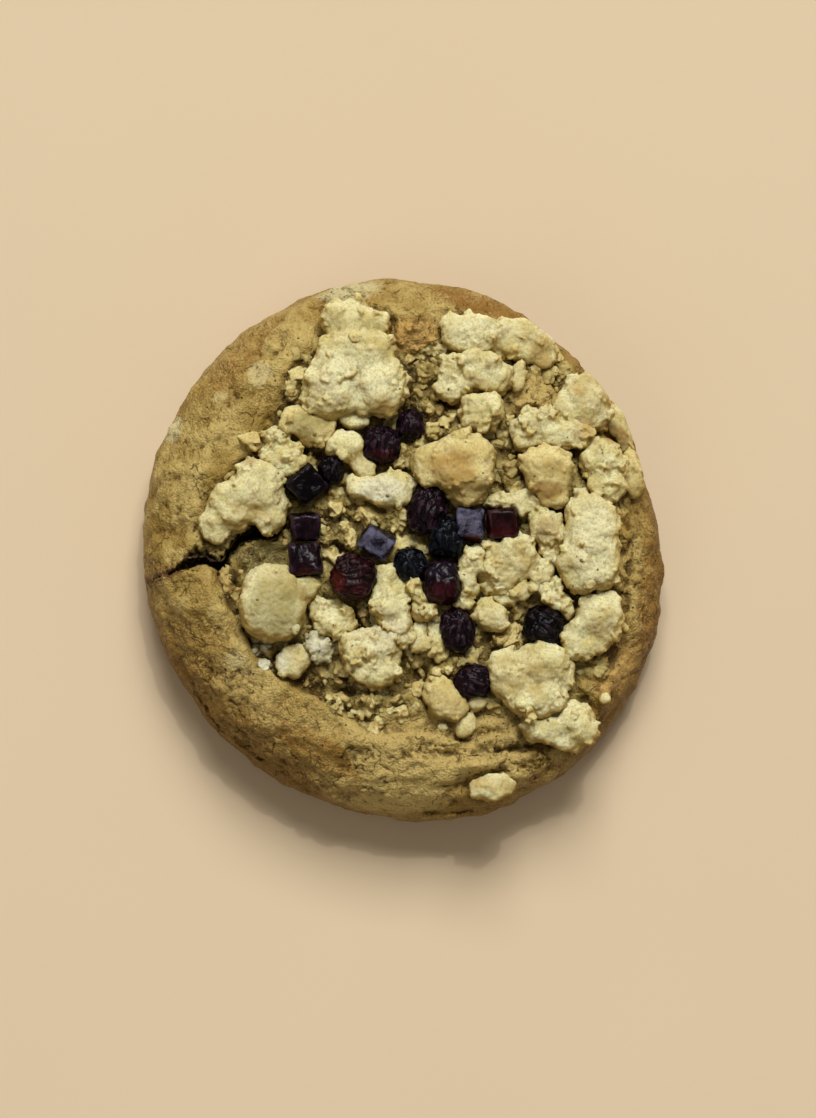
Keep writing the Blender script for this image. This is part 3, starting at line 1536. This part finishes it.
class Fruit(Enum):
    """The looks of the berry pieces: flesh, depth and dust, then how dusty edges and tops are, and gloss."""

    BLACK = BerryFinish(
        "black_fruit", linear(7, 3, 5), linear(3, 1, 2), linear(58, 42, 54), 0.28, 0.05, 0.22,
    )
    PURPLE = BerryFinish(
        "purple_fruit", linear(24, 6, 13), linear(6, 2, 4), linear(78, 52, 68), 0.36, 0.10, 0.22,
    )
    RED = BerryFinish(
        "red_fruit", linear(36, 4, 5), linear(12, 2, 3), linear(96, 62, 68), 0.32, 0.10, 0.20,
    )
    TEAL = BerryFinish(
        "teal_fruit", linear(6, 8, 12), linear(3, 3, 5), linear(46, 54, 68), 0.28, 0.12, 0.24,
    )
    DUSTED = BerryFinish(
        "dusted_fruit", linear(26, 20, 34), linear(10, 8, 16), linear(108, 104, 126), 0.60, 0.85, 0.34,
    )


BERRY_FRUITS = {
    "diced_berry_01": Fruit.BLACK, "diced_berry_02": Fruit.PURPLE, "diced_berry_03": Fruit.PURPLE,
    "diced_berry_04": Fruit.DUSTED, "diced_berry_05": Fruit.DUSTED, "diced_berry_06": Fruit.RED,
    "diced_berry_07": Fruit.PURPLE, "wrinkled_berry_01": Fruit.RED, "wrinkled_berry_02": Fruit.PURPLE,
    "wrinkled_berry_03": Fruit.TEAL, "wrinkled_berry_04": Fruit.TEAL, "wrinkled_berry_05": Fruit.PURPLE,
    "wrinkled_berry_06": Fruit.PURPLE, "wrinkled_berry_07": Fruit.BLACK, "wrinkled_berry_08": Fruit.PURPLE,
    "wrinkled_berry_09": Fruit.BLACK, "wrinkled_berry_10": Fruit.PURPLE, "wrinkled_berry_11": Fruit.RED,
}
FOLD_TURNS = {
    "wrinkled_berry_01": 100.0, "wrinkled_berry_02": -10.0, "wrinkled_berry_03": 5.0,
    "wrinkled_berry_04": 40.0, "wrinkled_berry_08": 10.0, "wrinkled_berry_09": 70.0,
    "wrinkled_berry_10": 80.0,
}
BERRY_GLOWS = {
    "diced_berry_03": stains(Tone.WINE, (-19.6, -5.2, 6.0, 3.4)),
    "diced_berry_05": stains(Tone.EMBER, (13.2, 1.8, 6.0, 2.6, 0.8)),
    "diced_berry_06": stains(Tone.WINE, (19.6, 3.0, 7.0, 4.0, 0.8)),
    "diced_berry_07": (
        *stains(Tone.CAP, (7.4, -4.2, 7.0, 3.6)), *stains(Tone.WINE, (7.6, -9.0, 8.0, 7.0, 0.75)),
    ),
    "wrinkled_berry_01": (
        *stains(Tone.EMBER, (-13.4, -7.0, 4.6, 6.0, 0.6)), *stains(Tone.WINE, (-10.2, -8.8, 8.0, 4.4, 0.6)),
    ),
    "wrinkled_berry_05": stains(Tone.WINE, (-4.6, 18.6, 6.0, 3.0, 0.8)),
}


# -------------------------------------------------------------------------------------- loose crumbs

@dataclass
class Fall:
    """Crumbs falling on the cookie: how many stay, how big they are and where they may lie."""

    count: int
    radii: tuple[float, float]
    seed: int
    on_clumps: float  # the chance that a crumb stays where it falls on a clump, against on the dough
    spread: float = 52.0
    tries_each: int = 14
    places: np.ndarray = field(init=False)
    sizes: np.ndarray = field(init=False)
    draw: np.random.Generator = field(init=False)

    def land(self, dough: Dough) -> None:
        """Drops the crumbs from above and keeps those that fall in the crumb-filled middle.

        Args:
            dough: Says where the middle is.
        """
        self.draw = np.random.default_rng(self.seed)
        graph = bpy.context.evaluated_depsgraph_get()
        scene = bpy.context.scene
        radius = self.spread * np.sqrt(self.draw.random(self.count * self.tries_each))
        angles = self.draw.uniform(0, 2 * math.pi, len(radius))
        heights = np.full(len(radius), SKY)
        starts = np.stack([radius * np.cos(angles), radius * np.sin(angles), heights], axis=1)
        kept = dough.crumbly_at(starts * (1, 1, 0)) > 0.5
        kept &= line_nearness(starts, dough.crack, 1.0) < 0.02
        places, sizes = [], []
        for start in starts[kept]:
            hit, place, normal, _, obj, _ = scene.ray_cast(graph, Vector(start) * MM, DOWN)
            chance, share = self.draw.random(), self.draw.random() ** 2.0
            stays = hit and "berry" not in obj.name and normal.z > 0.25
            likely = 1.0 if hit and "dough" in obj.name else self.on_clumps
            if stays and chance < likely and len(places) < self.count:
                places.append(np.array(place) / MM)
                sizes.append(self.radii[0] + (self.radii[1] - self.radii[0]) * share)
        self.places, self.sizes = np.array(places), np.array(sizes)


@dataclass
class LooseCrumbs(Maker):
    """Crumbs of one kind, strewn over what is there and joined into one piece."""

    name: str
    fall: Fall

    def build(self, granules: Granules, dough: Dough) -> None:
        """Strews single granules.

        Args:
            granules: The shapes to copy.
            dough: Says where they may lie.
        """
        self.fall.land(dough)
        self.piece = granules.copies(self.name, self.fall.places, self.fall.sizes, self.fall.draw, 0.35)

    def dress(self) -> None:
        """Dresses the crumbs, which are too small to have a grain."""
        self.dress_as_crumb(30, 0, 3)


@dataclass
class BrokenCrumbs(LooseCrumbs):
    """Small broken bits between the clumps, each a few granules stuck together."""

    stuck: int = 5
    sunk: float = 0.3  # of its radius
    voxel: float = 0.2
    relief: tuple[Push, ...] = (
        Push(Relief.GRANULES, 1.4, -0.3, 0.3), Push(Relief.LUMPS, 0.8, 0.12, depth=2),
    )

    def build(self, granules: Granules, dough: Dough) -> None:
        """Strews little heaps of granules and fuses them.

        Args:
            granules: The shapes that each bit is made of.
            dough: Says where they may lie.
        """
        self.fall.land(dough)
        draw, middles, radii = self.fall.draw, self.fall.places, self.fall.sizes
        around = draw.normal(size=(self.stuck, len(middles), 3)) * (1.0, 1.0, 0.4)
        around /= np.linalg.norm(around, axis=2)[:, :, None]
        offsets = around * (radii * draw.uniform(0.5, 1.1, (self.stuck, len(middles))))[:, :, None]
        middles[:, 2] -= self.sunk * radii
        places = np.concatenate([middles[None], middles + offsets]).reshape(-1, 3)
        small = draw.uniform(0.35, 0.8, (self.stuck, len(middles)))
        shares = np.concatenate([np.ones((1, len(middles))), small])
        self.piece = granules.copies(self.name, places, (shares * radii).ravel(), draw, 0.4)
        remesh(self.piece, self.voxel)
        soften(self.piece, 6)
        for push in self.relief:
            push.shape(self.piece)


@dataclass
class Pebbles(Maker):
    """A few smooth small crumbs that lie on the dough where the big ones leave off."""

    name: str = "crumbs_smooth"
    voxel: float = 0.2
    thickness: float = 0.8  # as a share of the width
    waviness: Push = Push(Relief.LUMPS, 2.6, 1.4)
    relief: tuple[Push, ...] = (
        Push(Relief.GRANULES, 1.4, -0.18, 0.3), Push(Relief.LUMPS, 0.8, 0.14, depth=2),
    )
    # Where each lies, then its length and width, and its turn from +X.
    lying: tuple[tuple[Place, Place, float], ...] = (
        ((14.5, -30.6), (4.2, 3.4), 20.0), ((12.2, -35.0), (4.2, 5.4), -20.0),
        ((40.0, -29.8), (2.4, 2.4), 0.0), ((-9.8, 25.6), (6.4, 4.0), -10.0),
        ((7.8, -35.4), (2.6, 2.0), 0.0), ((-21.6, -16.0), (2.2, 2.6), 0.0),
    )

    def build(self) -> None:
        """Models each pebble from a ball, lays it on what is below, and joins them."""
        graph = bpy.context.evaluated_depsgraph_get()
        made = []
        for (x, y), (length, width), turn in self.lying:
            place = bpy.context.scene.ray_cast(graph, Vector((x, y, SKY)) * MM, DOWN)[1]
            bpy.ops.object.select_all(action="DESELECT")
            bpy.ops.mesh.primitive_ico_sphere_add(subdivisions=4, radius=MM / 2, location=place)
            pebble = bpy.context.active_object
            pebble.scale = (length, width, self.thickness * min(length, width))
            pebble.rotation_euler = (0.0, 0.0, math.radians(turn))
            bpy.ops.object.transform_apply(location=True, rotation=True, scale=True)
            made.append(pebble)
        self.piece = made[0]
        select_only(self.piece)
        for pebble in made:
            pebble.select_set(True)
        bpy.ops.object.join()
        self.piece.name = self.name
        self.waviness.shape(self.piece)
        remesh(self.piece, self.voxel)
        soften(self.piece, 4)
        for push in self.relief:
            push.shape(self.piece)

    def dress(self) -> None:
        """Dresses the pebbles as crumb."""
        self.dress_as_crumb(30, 6, 6)


# -------------------------------------------------------------------------------------------- studio

@dataclass(frozen=True)
class Lamp:
    """A square soft light that faces the cookie."""

    name: str
    place: tuple[float, float, float]  # in metres
    size: float  # the length of its side in metres
    watts: float
    colour: tuple[float, float, float]

    def hang(self) -> None:
        """Hangs the light."""
        light = bpy.data.lights.new(self.name, "AREA")
        light.shape = "SQUARE"
        light.size = self.size
        light.energy = self.watts
        light.color = self.colour
        lamp = bpy.data.objects.new(self.name, light)
        lamp.location = self.place
        lamp.rotation_euler = Vector(self.place).to_track_quat("Z", "Y").to_euler()
        bpy.context.scene.collection.objects.link(lamp)


@dataclass
class Studio:
    """The plain pale floor, the soft lights and the camera."""

    floor_size: float = 1.6  # metres
    frame_height: float = 223.6  # millimetres that the picture's long side takes in
    aim: tuple[float, float, float] = (0.9, -1.85, 15.0)
    distance: float = 1300.0
    lean: float = 1.2  # degrees from straight down
    lean_from: float = 225.0  # the side towards which the camera leans, in degrees from +X
    sensor: float = 36.0
    room_colour: Colour = (1.0, 0.95, 0.86, 1.0)
    room_strength: float = 0.20
    floor: FloorFinish = FloorFinish("pale_floor", linear(223, 201, 168), linear(220, 198, 165))
    lamps: tuple[Lamp, ...] = (
        Lamp("window_light", (0.3, 2.8, 3.2), 2.0, 166.0, (1.0, 1.0, 1.0)),
        Lamp("room_light", (-1.8, -1.8, 3.0), 2.4, 12.0, (1.0, 0.94, 0.84)),
        Lamp("ceiling_lamp", (0.4, 1.9, 3.0), 0.09, 15.0, (1.0, 0.99, 0.96)),
    )

    def build(self) -> None:
        """Sets up the floor, the lights and the camera."""
        self.lay_floor()
        for lamp in self.lamps:
            lamp.hang()
        self.light_room()
        self.set_camera()

    def lay_floor(self) -> None:
        """Lays a flat floor that goes on past the picture's edges."""
        bpy.ops.object.select_all(action="DESELECT")
        bpy.ops.mesh.primitive_plane_add(size=self.floor_size, location=(0, 0, 0))
        floor = bpy.context.active_object
        floor.name = "floor"
        floor.data.materials.append(self.floor.material())
        floor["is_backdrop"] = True

    def light_room(self) -> None:
        """Fills the shadows with the room's own light."""
        world = bpy.data.worlds.new("room")
        world.use_nodes = True
        background = world.node_tree.nodes["Background"]
        background.inputs["Color"].default_value = self.room_colour
        background.inputs["Strength"].default_value = self.room_strength
        bpy.context.scene.world = world
        bpy.context.scene.view_settings.view_transform = "Standard"

    def set_camera(self) -> None:
        """Aims the camera almost straight down, with the far rim at the top of the picture."""
        lens = self.sensor / 2 * self.distance / (self.frame_height / 2)
        data = bpy.data.cameras.new("camera")
        data.lens = lens
        data.sensor_width = self.sensor
        camera = bpy.data.objects.new("camera", data)
        lean, side = math.radians(self.lean), math.radians(self.lean_from)
        back = Vector((math.sin(lean) * math.cos(side), math.sin(lean) * math.sin(side), math.cos(lean)))
        right = Vector((0, 1, 0)).cross(back).normalized()
        up = back.cross(right)
        turn = Matrix((right, up, back)).transposed().to_4x4()
        place = (Vector(self.aim) + back * self.distance) * MM
        camera.matrix_world = Matrix.Translation(place) @ turn
        bpy.context.scene.collection.objects.link(camera)
        bpy.context.scene.camera = camera


# ---------------------------------------------------------------------------------------------- main

class Look(Enum):
    """The looks of the streusel: pale top, deeper patches, golden sides and hollows."""

    PALE = StreuselFinish(
        "pale_streusel", linear(229, 222, 173), linear(208, 195, 135), linear(184, 153, 78),
        linear(130, 98, 34),
    )
    BUTTER = StreuselFinish(
        "buttery_streusel", linear(224, 208, 148), linear(204, 184, 118), linear(168, 136, 66),
        linear(108, 84, 34),
    )
    WARM = StreuselFinish(
        "golden_streusel", linear(190, 174, 114), linear(162, 142, 84), linear(142, 112, 54),
        linear(88, 66, 26),
    )
    GREY = StreuselFinish(
        "floury_streusel", linear(218, 215, 190), linear(192, 186, 150), linear(170, 156, 108),
        linear(104, 90, 54),
    )


BAKED = DoughFinish(
    "baked_dough", skin=linear(198, 174, 104), skin_deep=linear(160, 132, 64), brown=linear(132, 96, 34),
    hollow=linear(84, 64, 22), crumb=linear(168, 150, 86), crumb_deep=linear(128, 108, 50),
    topping=linear(208, 182, 116), pit=linear(116, 88, 36), pore=linear(62, 42, 14), cleft=linear(26, 12, 5),
)
# What isn't named here is pale.
STREUSEL_LOOKS = {
    "near_left_tuft": Look.GREY,
    **dict.fromkeys(("left_tan_lump", "near_smooth", "edge_right", "right_egg", "apricot"), Look.BUTTER),
}
DEEP_CRINKLES = 0.16  # millimetres, on wrinkled berries
FINE_CRINKLES = 0.06  # the same on diced ones


def report(piece: bpy.types.Object) -> None:
    """Logs one finished piece and its size."""
    triangles = sum(len(face.vertices) - 2 for face in piece.data.polygons)
    log.info("%s: %d triangles", piece.name, triangles)


def skin_of(node: str) -> Skin:
    """Says how the berry piece of that name puckered."""
    if node.startswith("wrinkled"):
        return Skin.WRINKLED
    return Skin.ROUNDED if node == "diced_berry_07" else Skin.CUT


def main() -> None:
    """Builds the cookie piece by piece, then the studio round it."""
    solids_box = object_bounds()
    box = [np.array(corner) / MM for corner in solids_box]
    looks = {look: look.value.material() for look in Look}
    granules = Granules(2)
    dust = Granules(1)

    dough = Dough(BAKED.material())
    dough.build()
    dough.hand_in(*box)
    report(dough.piece)

    reach = dough.reach()
    clumps = sorted(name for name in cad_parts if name.startswith("streusel_"))
    for number, node in enumerate(clumps):
        short = node.removeprefix("streusel_")
        look = looks[STREUSEL_LOOKS.get(short, Look.PALE)]
        clump = StreuselClump(look, node, STREUSEL_MAKES.get(short, Make.CRUMBLY), number)
        clump.build(granules)
        clump.hold_in(reach)
        clump.hand_in(*box)
        report(clump.piece)

    depths = (FINE_CRINKLES, DEEP_CRINKLES)
    fruits = {(fruit, depth): fruit.value.material(depth) for fruit in Fruit for depth in depths}
    for node, fruit in BERRY_FRUITS.items():
        skin = skin_of(node)
        look = fruits[fruit, DEEP_CRINKLES if skin is Skin.WRINKLED else FINE_CRINKLES]
        berry = Berry(look, node, skin, FOLD_TURNS.get(node, 10.0), BERRY_GLOWS.get(node, ()))
        berry.build()
        berry.hand_in(*box)
        report(berry.piece)

    pebbles = Pebbles(looks[Look.PALE])
    pebbles.build()
    pebbles.hand_in(*box)
    report(pebbles.piece)

    butter, warm = looks[Look.BUTTER], looks[Look.WARM]
    strewn = (
        (BrokenCrumbs(butter, "crumbs_broken", Fall(120, (0.80, 1.90), 31, 0.02)), granules),
        (BrokenCrumbs(warm, "crumbs_golden", Fall(150, (0.50, 1.30), 32, 0.0)), granules),
        (LooseCrumbs(warm, "crumbs_fine", Fall(220, (0.20, 0.45), 33, 0.06)), dust),
    )
    for crumbs, shapes in strewn:
        crumbs.build(shapes, dough)
        crumbs.hand_in(*box)
        report(crumbs.piece)

    Studio().build()


if __name__ == "__main__":
    logging.basicConfig(level=logging.INFO, format="%(message)s")
    main()
